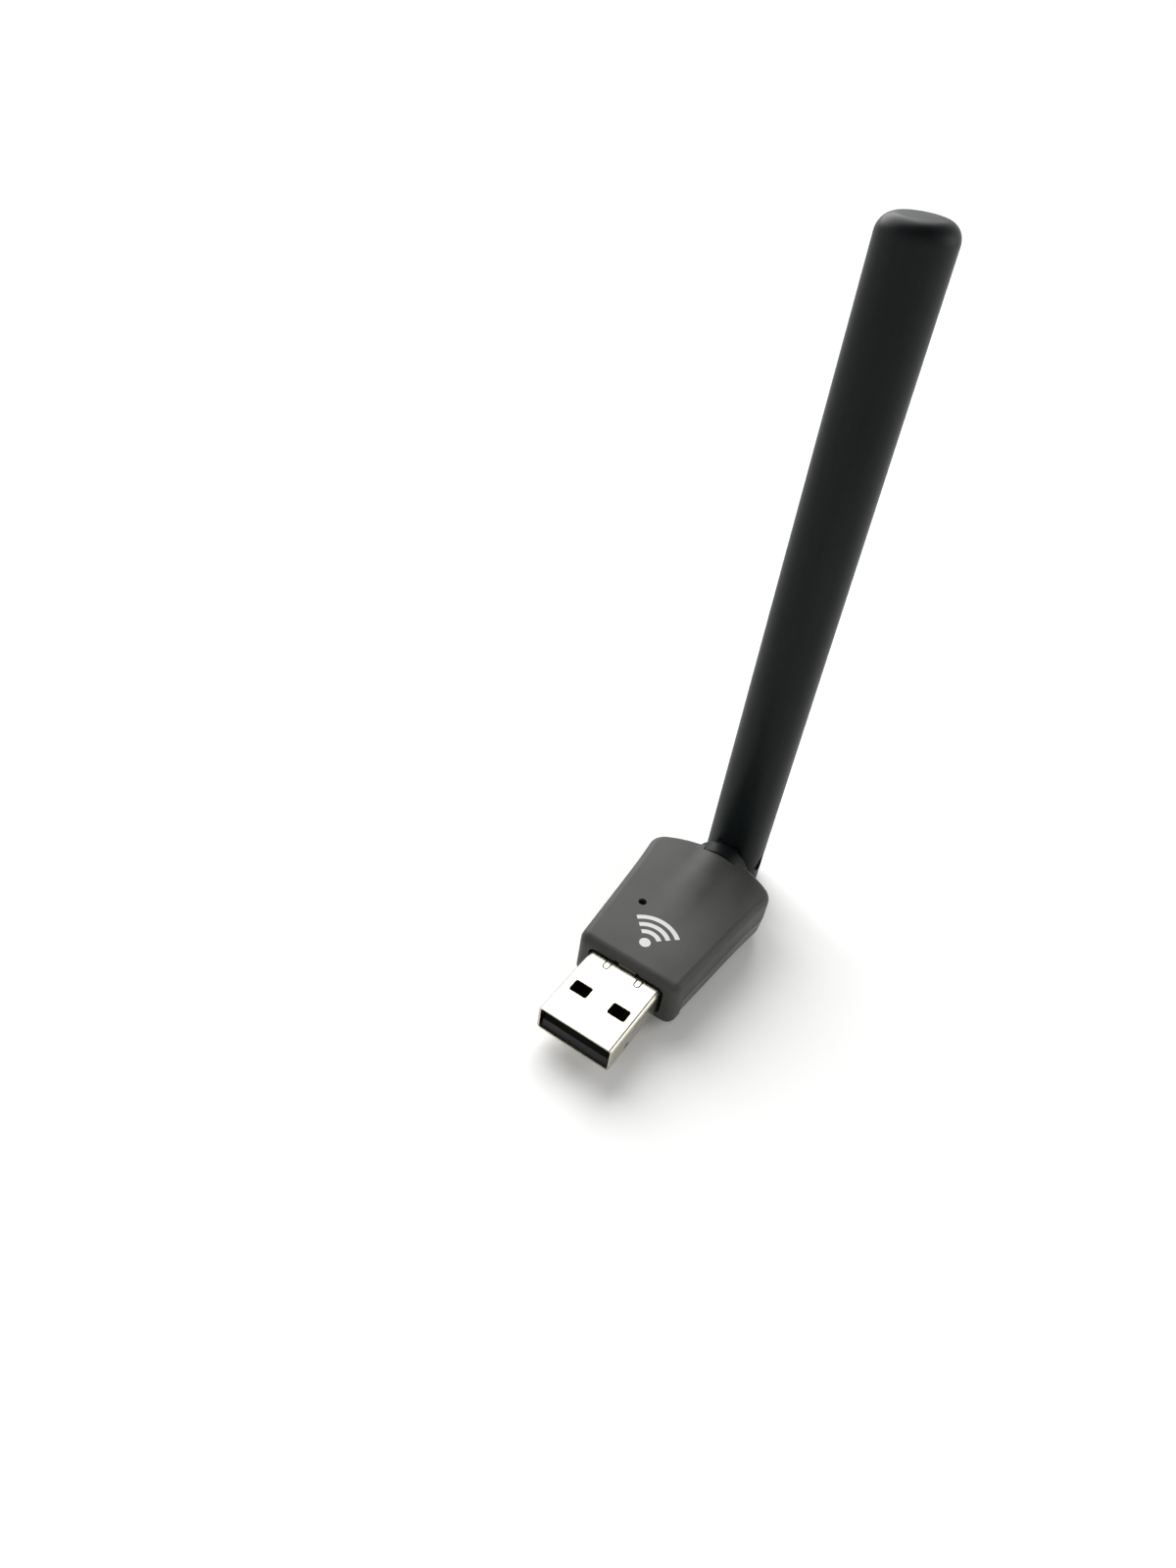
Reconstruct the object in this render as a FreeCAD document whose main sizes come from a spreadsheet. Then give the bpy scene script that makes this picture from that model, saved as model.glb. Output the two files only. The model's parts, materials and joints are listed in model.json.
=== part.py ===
"""USB wifi adapter with a folding, swivelling whip antenna.

Frame, in millimetres: the origin is on the plug's centre line, in the plane of the case's mouth.
+X is the plug's width, +Y runs back from the plug to the antenna, +Z is out of the case's top.
The antenna is upright, its rest position; its pieces are drawn about their own hinge pin.
"""
import FreeCAD
import Part
import Sketcher
import math
import os
import re

SIZES = {
    # the USB-A plug, to the standard's sizes
    "plug_width": 12.0,
    "plug_height": 4.5,
    "plug_reach": 12.9,
    "shell_sheet": 0.3,
    "shell_corner": 0.6,
    "shell_inside_case": 5.2,
    "window_width": 2.9,
    "window_length": 2.2,
    "window_corner": 0.35,
    "window_offset": 3.18,
    "window_from_tip": 5.0,
    "lance_offset": 2.65,
    "lance_width": 1.1,
    "lance_length": 1.7,
    "lance_slit": 0.2,
    "side_slot_length": 1.1,
    "side_slot_height": 0.6,
    "side_slot_from_tip": 3.8,
    "side_slot_low": 0.75,
    "ground_lug_width": 2.9,
    "ground_lug_height": 0.2,
    "tab_length": 2.0,
    "tab_top": 0.6,
    "tongue_top": -0.3,
    "tongue_recess": 0.4,
    "insulator_block": 1.2,
    "contact_width": 1.0,
    "contact_sheet": 0.25,
    "contact_proud": 0.1,
    "outer_contact_at": 3.5,
    "inner_contact_at": 1.0,
    "outer_contact_start": 10.9,
    "inner_contact_start": 9.9,
    "contact_solder": 1.6,
    # the case
    "case_top": 4.0,
    "case_bottom": 4.0,
    "case_length": 29.93,
    "front_half": 8.45,
    "flare_length": 10.05,
    "flare_rise": 0.34,
    "corner_half": 10.95,
    "back_radius": 17.4,
    "front_corner": 1.5,
    "back_corner": 3.0,
    "front_round": 1.6,
    "top_edge": 1.2,
    "bottom_edge": 0.85,
    "side_draft": 0.3,
    "hump_half": 4.2,
    "hump_rise": 0.75,
    "collar_front": 2.5,
    "case_wall": 1.2,
    "mouth_gap": 0.4,
    "mouth_depth": 1.5,
    "mouth_notch": 4.3,
    "mouth_notch_height": 0.25,
    "seam_height": 0.2,
    "seam_depth": 0.4,
    "lip_height": 0.9,
    "lip_play": 0.1,
    "led_x": -4.5,
    "led_along": 6.0,
    "led_hole": 1.3,
    "post_radius": 0.8,
    "post_inset": 1.4,
    "front_post_along": 3.2,
    "back_post_along": 1.6,
    # the circuit board
    "board_sheet": 1.0,
    "board_front_gap": 0.4,
    "board_back_gap": 1.4,
    "board_play": 0.8,
    "chip_side": 6.0,
    "chip_height": 0.85,
    "chip_across": 1.0,
    "chip_along": 8.6,
    "memory_side": 3.0,
    "memory_across": 5.4,
    "memory_along": 13.6,
    "crystal_length": 3.2,
    "crystal_width": 2.5,
    "crystal_height": 0.7,
    "crystal_across": -4.6,
    "crystal_along": 12.0,
    "inductor_side": 3.0,
    "inductor_height": 1.4,
    "inductor_across": 2.6,
    "inductor_along": 3.4,
    "capacitor_length": 1.0,
    "capacitor_width": 0.5,
    "capacitor_pitch": 1.4,
    "front_row_across": -2.4,
    "front_row_along": 4.2,
    "back_row_across": -1.5,
    "back_row_along": 13.4,
    "led_length": 1.6,
    "led_width": 0.8,
    "led_height": 0.6,
    # the swivel
    "barrel_radius": 4.85,
    "barrel_length": 2.8,
    "barrel_sunk": 1.93,
    "barrel_gap": 0.15,
    "barrel_edge": 0.4,
    "neck_radius": 2.4,
    "flange_radius": 3.2,
    "flange_sheet": 1.1,
    "bulkhead_depth": 4.53,
    "running_gap": 0.05,
    "stop_peg_radius": 0.4,
    "stop_peg_at": 2.3,
    "stop_peg_length": 0.8,
    "stop_gap": 0.3,
    # the hinge and the antenna
    "antenna_radius": 4.81,
    "antenna_tip": 96.0,
    "tip_round": 2.2,
    "tip_wall": 2.0,
    "tube_wall": 1.2,
    "tongue_half": 1.8,
    "tongue_corner": 0.6,
    "fork_gap": 0.15,
    "fork_web": 2.7,
    "spigot_length": 6.0,
    "pin_radius": 1.0,
    "pin_head_radius": 1.5,
    "pin_head_sheet": 0.45,
    "pin_recess": 0.5,
    "cable_radius": 0.565,
    "cable_play": 0.285,
    "cable_on_board": 3.0,
    "sleeve_length": 24.0,
    "sleeve_radius": 2.1,
    "sleeve_sheet": 0.3,
    "whip_radius": 0.25,
    "whip_length": 26.0,
    "whip_from_tip": 8.0,
    "shrink_sheet": 0.25,
    "shrink_length": 10.0,
    "shrink_neck": 2.0,
}

# sizes that follow from the ones above, each from those before it
DERIVED = {
    "corner_y": "case_length - back_radius + sqrt(back_radius ^ 2 - corner_half ^ 2)",
    "side_slope": "(corner_half - flare_rise - front_half) / corner_y",
    "flare_start": "corner_y - flare_length",
    "flare_radius": "flare_length ^ 2 / 2 / flare_rise",
    "bulkhead_start": "case_length - bulkhead_depth",
    "barrel_start": "case_length - barrel_sunk",
    "barrel_end": "barrel_start + barrel_length",
    "barrel_pocket": "barrel_radius + barrel_gap",
    "pivot_y": "barrel_end + fork_gap + antenna_radius",
    "board_start": "shell_inside_case + board_front_gap",
    "board_end": "bulkhead_start - board_back_gap",
    "board_front_half": "front_half + side_slope * board_start - case_wall - board_play",
    "board_back_half": "front_half + side_slope * flare_start - case_wall - board_play",
    "led_y": "board_start + led_along",
    "tongue_reach": "antenna_radius - fork_gap",
    "fork_floor": "antenna_radius",
    "fork_top": "fork_floor + fork_web",
    "spigot_radius": "antenna_radius - tube_wall",
    "cable_slot": "cable_radius + cable_play",
    "whip_top": "antenna_tip - whip_from_tip",
    "sleeve_top": "whip_top - whip_length",
    "sleeve_bottom": "sleeve_top - sleeve_length",
}

LEAST_CUT = 0.001  # cubic millimetres, below which a cut has missed
FUSE = "0.1"  # how far a piece that joins another runs into it
PAST = "1"  # how far a cut runs past what it cuts
NEAR = 0.02  # how close an edge's middle lies to the place that picks it
LOOSE = 0.5  # the same, on a drafted wall
CAPACITORS_IN_ROW = 3
HUMP_GROWTH = ((-0.04, 0.02), (0.4, 0.1), (0.75, 0.5), (1.04, 1.0))  # share of the length, share of the rise

doc = FreeCAD.newDocument("usb_wifi_adapter")
sheet = doc.addObject("Spreadsheet::Sheet", "Sizes")
parts = []


def fill_sheet():
    """Write every size into the spreadsheet, its name beside it."""
    cells = {name: str(size) for name, size in SIZES.items()}
    cells.update({name: f"={formula}" for name, formula in DERIVED.items()})
    for row, (name, cell) in enumerate(cells.items(), start=1):
        sheet.set(f"A{row}", name)
        sheet.set(f"B{row}", cell)
        sheet.setAlias(f"B{row}", name)
    doc.recompute()


def bound(formula):
    """Turn a formula of size names into one that reads the spreadsheet."""
    return re.sub(r"\b([a-z]+(?:_[a-z]+)+)\b", r"Sizes.\1", formula)


def number(formula):
    """The present value of a formula."""
    return float(sheet.evalExpression(bound(formula)))


def origin_plane(body, role):
    """One of a body's own three origin planes."""
    return next(item for item in body.Origin.OriginFeatures if item.Role == role)


def new_body(label):
    """An empty body that becomes one sub-part."""
    body = doc.addObject("PartDesign::Body", label)
    body.Label = label
    parts.append(body)
    return body


def new_sketch(body, name, role, level="0"):
    """A sketch on an origin plane, moved to a coordinate along that plane's axis."""
    sketch = body.newObject("Sketcher::SketchObject", name)
    sketch.AttachmentSupport = (origin_plane(body, role), [""])
    sketch.MapMode = "FlatFace"
    sign = "-" if role == "XZ_Plane" else ""
    sketch.setExpression("AttachmentOffset.Base.z", bound(f"{sign}({level})"))
    return sketch


def arc_between(start, end, radius, hand):
    """The short arc from start to end, turning left (hand 1) or right (hand -1)."""
    chord = end - start
    left = FreeCAD.Vector(-chord.y, chord.x, 0).normalize()
    rise = math.sqrt(max(radius ** 2 - (chord.Length / 2) ** 2, 0))
    centre = (start + end) * 0.5 + left * (hand * rise)
    ends = (start, end) if hand > 0 else (end, start)
    angles = [math.atan2(point.y - centre.y, point.x - centre.x) for point in ends]
    circle = Part.Circle(centre, FreeCAD.Vector(0, 0, 1), radius)
    return Part.ArcOfCircle(circle, angles[0], angles[1])


def fix_point(sketch, side, end, place):
    """Tie one end of a side to its two formulas."""
    for axis, other, formula in (("DistanceX", -2, place[0]), ("DistanceY", -1, place[1])):
        if formula == "0":
            sketch.addConstraint(Sketcher.Constraint("PointOnObject", side, end, other))
            continue
        index = sketch.addConstraint(Sketcher.Constraint(axis, -1, 1, side, end, number(formula)))
        sketch.setExpression(f"Constraints[{index}]", bound(formula))


def draw_loop(sketch, points, arcs=None):
    """Draw a closed loop; arcs gives the radius and the hand of each side that is round."""
    arcs = arcs or {}
    places = [FreeCAD.Vector(number(x), number(y), 0) for x, y in points]
    first = sketch.GeometryCount
    count = len(points)
    ends = []
    for side in range(count):
        start, end = places[side], places[(side + 1) % count]
        if side in arcs:
            radius, hand = arcs[side]
            sketch.addGeometry(arc_between(start, end, number(radius), hand))
            ends.append((1, 2) if hand > 0 else (2, 1))
        else:
            sketch.addGeometry(Part.LineSegment(start, end))
            ends.append((1, 2))
    for side in range(count):
        after = (side + 1) % count
        sketch.addConstraint(Sketcher.Constraint(
            "Coincident", first + side, ends[side][1], first + after, ends[after][0]))
        fix_point(sketch, first + side, ends[side][0], points[side])
        if side in arcs:
            index = sketch.addConstraint(Sketcher.Constraint(
                "Radius", first + side, number(arcs[side][0])))
            sketch.setExpression(f"Constraints[{index}]", bound(arcs[side][0]))


def draw_circle(sketch, x, y, radius):
    """Draw a circle about a point."""
    centre = FreeCAD.Vector(number(x), number(y), 0)
    side = sketch.addGeometry(Part.Circle(centre, FreeCAD.Vector(0, 0, 1), number(radius)))
    fix_point(sketch, side, 3, (x, y))
    index = sketch.addConstraint(Sketcher.Constraint("Radius", side, number(radius)))
    sketch.setExpression(f"Constraints[{index}]", bound(radius))


def circle(x, y, radius):
    """A round loop for a sketch."""
    return lambda sketch: draw_circle(sketch, x, y, radius)


def polygon(*points):
    """A straight-sided loop for a sketch."""
    return lambda sketch: draw_loop(sketch, points)


def outline(points, arcs):
    """A loop for a sketch, with some sides round."""
    return lambda sketch: draw_loop(sketch, points, arcs)


def box(left, right, low, high):
    """A rectangle between four coordinates."""
    return polygon((left, low), (right, low), (right, high), (left, high))


def rounded_box(half_x, half_y, corner, x="0", y="0"):
    """A rectangle about a point with round corners."""
    inner_x, inner_y = f"(({half_x}) - ({corner}))", f"(({half_y}) - ({corner}))"
    points = [
        (f"{x} - {inner_x}", f"{y} - ({half_y})"),
        (f"{x} + {inner_x}", f"{y} - ({half_y})"),
        (f"{x} + ({half_x})", f"{y} - {inner_y}"),
        (f"{x} + ({half_x})", f"{y} + {inner_y}"),
        (f"{x} + {inner_x}", f"{y} + ({half_y})"),
        (f"{x} - {inner_x}", f"{y} + ({half_y})"),
        (f"{x} - ({half_x})", f"{y} + {inner_y}"),
        (f"{x} - ({half_x})", f"{y} - {inner_y}"),
    ]
    return outline(points, {side: (corner, 1) for side in (1, 3, 5, 7)})


def add(body, name, role, low, high, *loops):
    """Pad loops from one coordinate to a higher one along the plane's axis."""
    sketch = new_sketch(body, f"{name}_sketch", role, low)
    for loop in loops:
        loop(sketch)
    pad = body.newObject("PartDesign::Pad", name)
    pad.Profile = sketch
    pad.setExpression("Length", bound(f"({high}) - ({low})"))
    pad.Reversed = role == "XZ_Plane"
    doc.recompute()
    return pad


def cut(body, name, role, low, high, *loops):
    """Pocket loops from one coordinate to a higher one along the plane's axis."""
    before = body.Shape.Volume
    sketch = new_sketch(body, f"{name}_sketch", role, low)
    for loop in loops:
        loop(sketch)
    pocket = body.newObject("PartDesign::Pocket", name)
    pocket.Profile = sketch
    pocket.setExpression("Length", bound(f"({high}) - ({low})"))
    pocket.Reversed = role != "XZ_Plane"
    doc.recompute()
    check_cut(body, name, before)
    return pocket


def turn(body, name, role, loop, axis="V_Axis"):
    """Revolve a half section about its sketch's upright axis."""
    sketch = new_sketch(body, f"{name}_sketch", role)
    loop(sketch)
    feature = body.newObject("PartDesign::Revolution", name)
    feature.Profile = sketch
    feature.ReferenceAxis = (sketch, [axis])
    feature.Angle = 360
    doc.recompute()
    return feature


def groove(body, name, loop):
    """Turn a half section about the Y axis and cut it away."""
    before = body.Shape.Volume
    sketch = new_sketch(body, f"{name}_sketch", "YZ_Plane")
    loop(sketch)
    feature = body.newObject("PartDesign::Groove", name)
    feature.Profile = sketch
    feature.ReferenceAxis = (sketch, ["H_Axis"])
    feature.Angle = 360
    doc.recompute()
    check_cut(body, name, before)


def check_cut(body, name, before):
    """Refuse a cut that takes nothing away."""
    if not body.Shape.Volume < before - LEAST_CUT:
        raise RuntimeError(f"{body.Label}: {name} cuts nothing")


def round_edges(body, name, radius, wanted):
    """Fillet the edges whose middle point is wanted."""
    names = []
    for index, edge in enumerate(body.Shape.Edges, start=1):
        middle = edge.valueAt((edge.FirstParameter + edge.LastParameter) / 2)
        if wanted(middle, edge):
            names.append(f"Edge{index}")
    if not names:
        raise RuntimeError(f"{body.Label}: {name} finds no edge")
    base = body.Tip
    fillet = body.newObject("PartDesign::Fillet", name)
    fillet.Base = (base, names)
    fillet.setExpression("Radius", bound(radius))
    doc.recompute()
    return fillet


def lift_to_hinge(piece):
    """Place a piece that is drawn about the hinge pin."""
    piece.setExpression("Placement.Base.y", bound("pivot_y"))


# ---------------------------------------------------------------- the case

FLARE_HALF = "(front_half + side_slope * flare_start)"
ROOM_FRONT = "(collar_front + case_wall)"
ROOM_HIGH = "(case_top - case_wall)"
ROOM_LOW = "(-(case_bottom - case_wall))"
BOARD_TOP = "(tongue_top + contact_proud - contact_sheet)"
BOARD_LOW = f"({BOARD_TOP} - board_sheet)"
POSTS = [(f"{side} * (board_{end}_half - post_inset)", along) for side in ("-1", "1")
         for end, along in (("front", "board_start + front_post_along"),
                            ("back", "board_end - back_post_along"))]


def front_corners(front, half):
    """The case's two front corners, rounded so that the arcs run on into the sloping sides."""
    run = "(front_corner * (sqrt(1 + side_slope ^ 2) - side_slope))"
    along = f"({run} / sqrt(1 + side_slope ^ 2))"
    side_x, side_y = f"({half} + side_slope * {along})", f"({front} + {along})"
    return [(f"-{side_x}", side_y), (f"-({half} - {run})", front),
            (f"{half} - {run}", front), (side_x, side_y)]


def case_plan(front, inset):
    """The case seen from above: round corners, straight sides that flare, and a round back."""
    front_half = f"(front_half + side_slope * ({front}) - {inset})"
    flare_half = f"({FLARE_HALF} - {inset})"
    corner_half = f"(corner_half - {inset})"
    back_radius = f"(back_radius - {inset})"
    corner_y = (f"(case_length - {inset} - {back_radius}"
                f" + sqrt({back_radius} ^ 2 - {corner_half} ^ 2))")
    points = front_corners(front, front_half) + [
        (flare_half, "flare_start"),
        (corner_half, corner_y),
        (f"-{corner_half}", corner_y),
        (f"-{flare_half}", "flare_start"),
    ]
    arcs = {0: ("front_corner", 1), 2: ("front_corner", 1),
            4: ("flare_radius", -1), 5: (back_radius, 1), 6: ("flare_radius", -1)}
    return outline(points, arcs)


def room_plan(inset, spread="0"):
    """The space inside the case, in front of the bulkhead; spread widens its two ends."""
    front, back = f"({ROOM_FRONT} - ({spread}))", f"(bulkhead_start + {spread})"
    front_half = f"(front_half + side_slope * {front} - ({inset}))"
    flare_half = f"({FLARE_HALF} - ({inset}))"
    back_half = f"({FLARE_HALF} + side_slope * ({back} - flare_start) - ({inset}))"
    return polygon(
        (f"-{front_half}", front), (front_half, front), (flare_half, "flare_start"),
        (back_half, back), (f"-{back_half}", back), (f"-{flare_half}", "flare_start"))


def crown_section(rise):
    """What is cut off above the cover: flat over the shoulders, with a soft hump in the middle."""
    block_half = f"(corner_half + {PAST})"
    block_top = f"(case_top + hump_rise + 2 * {PAST})"
    radius = f"(((hump_half / 2) ^ 2 + ({rise} / 2) ^ 2) / {rise})"
    points = [
        (f"-{block_half}", block_top),
        (f"-{block_half}", "case_top"),
        ("-hump_half", "case_top"),
        ("-hump_half / 2", f"case_top + {rise} / 2"),
        ("hump_half / 2", f"case_top + {rise} / 2"),
        ("hump_half", "case_top"),
        (block_half, "case_top"),
        (block_half, block_top),
    ]
    return outline(points, {2: (radius, 1), 3: (radius, -1), 4: (radius, 1)})


def cut_crown(body):
    """Loft away what is above the cover, its hump growing towards the antenna."""
    sections = []
    for place, (along, share) in enumerate(HUMP_GROWTH):
        sketch = new_sketch(body, f"crown_section_{place}", "XZ_Plane", f"case_length * {along}")
        crown_section(f"(hump_rise * {share})")(sketch)
        sections.append(sketch)
    doc.recompute()
    loft = body.newObject("PartDesign::SubtractiveLoft", "crown")
    loft.Profile = sections[0]
    loft.Sections = sections[1:]
    doc.recompute()


def cut_plug_mouth(body):
    """The mouth round the plug: an open rim, then a close fit on the shell."""
    cut(body, "mouth", "XZ_Plane", f"-{PAST}", "mouth_depth",
        rounded_box("plug_width / 2 + mouth_gap", "plug_height / 2 + mouth_gap", "shell_corner + mouth_gap"))
    cut(body, "plug_seat", "XZ_Plane", f"mouth_depth - {FUSE}", f"{ROOM_FRONT} + {FUSE}",
        rounded_box("plug_width / 2", "plug_height / 2", "shell_corner"))
    cut(body, "mouth_notch", "XZ_Plane", f"-{PAST}", "mouth_depth",
        box("-mouth_notch / 2", "mouth_notch / 2",
            "0", "plug_height / 2 + mouth_gap + mouth_notch_height"))


def cut_swivel_seat(body):
    """The flange's recess, the neck's hole and the barrel's pocket, turned in one."""
    flange_end = "(bulkhead_start + flange_sheet + 2 * running_gap)"
    flange, neck = "(flange_radius + 2 * running_gap)", "(neck_radius + running_gap)"
    start, end = f"(bulkhead_start - {PAST})", f"(case_length + {PAST})"
    barrel = "(barrel_start - running_gap)"
    groove(body, "swivel_seat", polygon(
        (start, "0"), (end, "0"), (end, "barrel_pocket"), (barrel, "barrel_pocket"),
        (barrel, neck), (flange_end, neck), (flange_end, flange), (start, flange)))


def make_top_cover():
    """Upper cover: the front ring, the upper half of the case and its crown."""
    body = new_body("top_cover")
    add(body, "plan", "XY_Plane", "0", f"case_top + hump_rise + {PAST}", case_plan("0", "0"))
    corner_half, back_line = number("corner_half"), number("corner_y")
    round_edges(body, "back_corners", "back_corner",
                lambda at, edge: abs(abs(at.x) - corner_half) < NEAR and abs(at.y - back_line) < NEAR)
    ring_back = "(front_half + side_slope * collar_front)"
    add(body, "front_ring", "XY_Plane", "-case_bottom", "0",
        outline(front_corners("0", "front_half")
                + [(ring_back, "collar_front"), (f"-{ring_back}", "collar_front")],
                {0: ("front_corner", 1), 2: ("front_corner", 1)}))
    cut_crown(body)
    low, high = "(case_top - front_round)", f"(case_top + {PAST})"
    cut(body, "front_edge", "YZ_Plane", "-corner_half", "corner_half",
        outline([(f"-{PAST}", low), ("0", low), ("front_round", "case_top"), ("front_round", high),
                 (f"-{PAST}", high)], {1: ("front_round", -1)}))
    front, top, bottom = number("front_round"), number("case_top"), number("case_bottom")
    beside, behind = number("hump_half + top_edge"), number("case_length - 2 * top_edge")
    round_edges(body, "top_edges", "top_edge",
                lambda at, edge: at.z > top - NEAR and at.y > front + NEAR
                and (abs(at.x) > beside or at.y > behind))
    round_edges(body, "ring_edges", "bottom_edge",
                lambda at, edge: at.z < -bottom + NEAR and at.y < number("collar_front") - NEAR)
    cut(body, "lip_rebate", "XY_Plane", f"-{FUSE}", "lip_height + lip_play",
        room_plan("case_wall / 2", "case_wall / 2"))
    cut(body, "room", "XY_Plane", f"-{FUSE}", ROOM_HIGH, room_plan("case_wall"))
    for index, (x, y) in enumerate(POSTS):
        add(body, f"post_{index}", "XY_Plane", BOARD_TOP, f"{ROOM_HIGH} + {FUSE}",
            circle(x, y, "post_radius"))
    cut_plug_mouth(body)
    cut_swivel_seat(body)
    cut(body, "led_hole", "XY_Plane", "0", f"case_top + {PAST}", circle("led_x", "led_y", "led_hole / 2"))
    return body


def make_bottom_cover():
    """Lower cover: a drafted tray behind the front ring, with a lip and the swivel's stops."""
    body = new_body("bottom_cover")
    pad = add(body, "tray", "XY_Plane", "-case_bottom", "0",
              case_plan(f"(collar_front - {PAST})", "side_draft"))
    pad.setExpression("TaperAngle", bound("atan(side_draft / case_bottom)"))
    doc.recompute()
    cut(body, "front_plane", "XY_Plane", f"-case_bottom - {PAST}", PAST,
        box("-corner_half", "corner_half", f"-{PAST}", "collar_front"))
    back_line, low, wall = number("corner_y"), number("case_bottom"), number("corner_half - side_draft / 2")
    round_edges(body, "back_corners", "back_corner",
                lambda at, edge: abs(abs(at.x) - wall) < LOOSE
                and abs(at.y - back_line) < LOOSE and abs(at.z + low / 2) < LOOSE)
    round_edges(body, "bottom_edges", "bottom_edge",
                lambda at, edge: at.z < -low + NEAR and at.y > number("collar_front") + NEAR)
    cut_seam_groove(body)
    cut(body, "room", "XY_Plane", ROOM_LOW, PAST, room_plan("case_wall"))
    add(body, "lip", "XY_Plane", f"-{FUSE}", "lip_height",
        room_plan("case_wall / 2 + lip_play", "case_wall / 2 - lip_play"), room_plan("case_wall"))
    for index, (x, y) in enumerate(POSTS):
        add(body, f"post_{index}", "XY_Plane", f"{ROOM_LOW} - {FUSE}", BOARD_LOW,
            circle(x, y, "post_radius"))
    cut(body, "plug_seat", "XZ_Plane", f"collar_front - {FUSE}", f"{ROOM_FRONT} + {FUSE}",
        rounded_box("plug_width / 2", "plug_height / 2", "shell_corner"))
    cut_swivel_seat(body)
    for side, name in (("-1", "left"), ("1", "right")):
        edges = sorted((f"{side} * (cable_slot + cable_play)", f"{side} * flange_radius"), key=number)
        add(body, f"stop_{name}", "XY_Plane", f"{ROOM_LOW} - {FUSE}", "-stop_peg_radius - 2 * running_gap",
            box(edges[0], edges[1], "board_end + stop_gap", "bulkhead_start - stop_gap"))
    return body


def cut_seam_groove(body):
    """A shallow reveal round the tray's upper rim, which shows as a dark line under the top cover."""
    half = f"(corner_half + {PAST})"
    cut(body, "seam_groove", "XY_Plane", "-seam_height", PAST,
        box(f"-{half}", half, "0", f"case_length + {PAST}"),
        case_plan(f"(collar_front - {PAST})", "seam_depth"))


# ---------------------------------------------------------------- the plug

def make_usb_shell():
    """The plug's folded steel shell, with its latch windows, lances and solder tabs."""
    body = new_body("usb_shell")
    add(body, "tube", "XZ_Plane", "-plug_reach", "shell_inside_case",
        rounded_box("plug_width / 2", "plug_height / 2", "shell_corner"),
        rounded_box("plug_width / 2 - shell_sheet", "plug_height / 2 - shell_sheet",
                    "shell_corner - shell_sheet"))
    window_y = "(window_from_tip + window_length / 2 - plug_reach)"
    for side, name in (("-1", "left"), ("1", "right")):
        window = rounded_box("window_width / 2", "window_length / 2", "window_corner",
                             f"({side} * window_offset)", window_y)
        cut(body, f"top_window_{name}", "XY_Plane", "0", "plug_height", window)
        cut(body, f"low_window_{name}", "XY_Plane", "-plug_height", "0", window)
        cut_lance(body, f"lance_{name}", f"({side} * lance_offset)")
    slot_front = "(side_slot_from_tip - plug_reach)"
    cut(body, "side_slots", "YZ_Plane", "-plug_width", "plug_width",
        box(slot_front, f"{slot_front} + side_slot_length",
            "-side_slot_low - side_slot_height", "-side_slot_low"))
    add(body, "ground_lug", "XY_Plane", "plug_height / 2 - shell_sheet / 2",
        "plug_height / 2 + ground_lug_height",
        box("-ground_lug_width / 2", "ground_lug_width / 2", "mouth_gap", "2 * mouth_gap"))
    for side, name in (("-1", "left"), ("1", "right")):
        edges = sorted((f"{side} * plug_width / 2", f"{side} * (plug_width / 2 - shell_sheet)"), key=number)
        add(body, f"tab_{name}", "YZ_Plane", edges[0], edges[1],
            box(f"shell_inside_case - {FUSE}", "board_start + tab_length", BOARD_LOW, "tab_top"))
    return body


def cut_lance(body, name, middle):
    """A U-shaped slit that frees a tongue of the shell's top; its open side faces the case."""
    outer, inner = "(lance_width / 2)", "(lance_width / 2 - lance_slit)"
    centre, end = f"({outer} - lance_length)", "-lance_slit"
    points = [
        (f"{middle} - {outer}", centre), (middle, f"{centre} - {outer}"), (f"{middle} + {outer}", centre),
        (f"{middle} + {outer}", end), (f"{middle} + {inner}", end), (f"{middle} + {inner}", centre),
        (middle, f"{centre} - {inner}"), (f"{middle} - {inner}", centre),
        (f"{middle} - {inner}", end), (f"{middle} - {outer}", end),
    ]
    arcs = {0: (outer, 1), 1: (outer, 1), 5: (inner, -1), 6: (inner, -1)}
    cut(body, name, "XY_Plane", "0", "plug_height", outline(points, arcs))


CONTACTS = {
    "usb_contact_power": ("-outer_contact_at", "outer_contact_start"),
    "usb_contact_data_minus": ("-inner_contact_at", "inner_contact_start"),
    "usb_contact_data_plus": ("inner_contact_at", "inner_contact_start"),
    "usb_contact_ground": ("outer_contact_at", "outer_contact_start"),
}


def make_usb_insulator():
    """The plug's black tongue and the block behind it, grooved for the contacts."""
    body = new_body("usb_insulator")
    inside_half, inside_low = "(plug_width / 2 - shell_sheet)", "(plug_height / 2 - shell_sheet)"
    corner = "(shell_corner - shell_sheet)"
    add(body, "block", "XZ_Plane", "-insulator_block", "shell_inside_case",
        rounded_box(inside_half, inside_low, corner))
    add(body, "tongue", "XZ_Plane", "tongue_recess - plug_reach", f"-insulator_block + {FUSE}",
        box(f"-{inside_half} + {corner}", f"{inside_half} - {corner}", f"-{inside_low}", "tongue_top"))
    for name, (middle, start) in CONTACTS.items():
        cut(body, f"groove_{name}", "XZ_Plane", f"-{start}", f"shell_inside_case + {FUSE}",
            box(f"{middle} - contact_width / 2", f"{middle} + contact_width / 2",
                BOARD_TOP, f"{BOARD_TOP} + contact_sheet"))
    return body


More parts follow.
